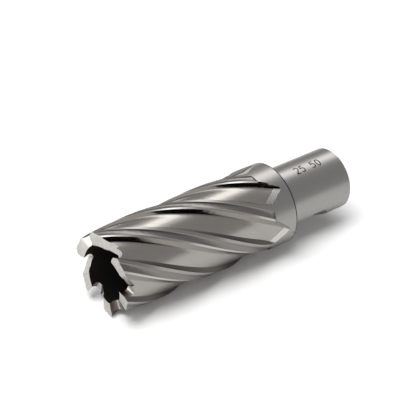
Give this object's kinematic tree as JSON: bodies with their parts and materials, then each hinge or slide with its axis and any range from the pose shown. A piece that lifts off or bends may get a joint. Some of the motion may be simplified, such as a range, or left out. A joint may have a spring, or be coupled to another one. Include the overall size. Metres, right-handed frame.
{
  "type": "annular cutter",
  "caption": "Hollow metal-drilling cutter with a round shank, clamping flats, helical flutes and a ring of teeth round an open core.",
  "frame": {"origin": "centre of the shank's end face", "axes": "+Z along the cutter's axis from the shank's end face towards the teeth; +X is the side turned to the viewer in the picture"},
  "size_m": [0.0254, 0.0254, 0.0855],
  "materials": {
    "ground_steel": "ground"
  },
  "bodies": {
    "root": {"cutter": "ground_steel"}
  },
  "joints": []
}
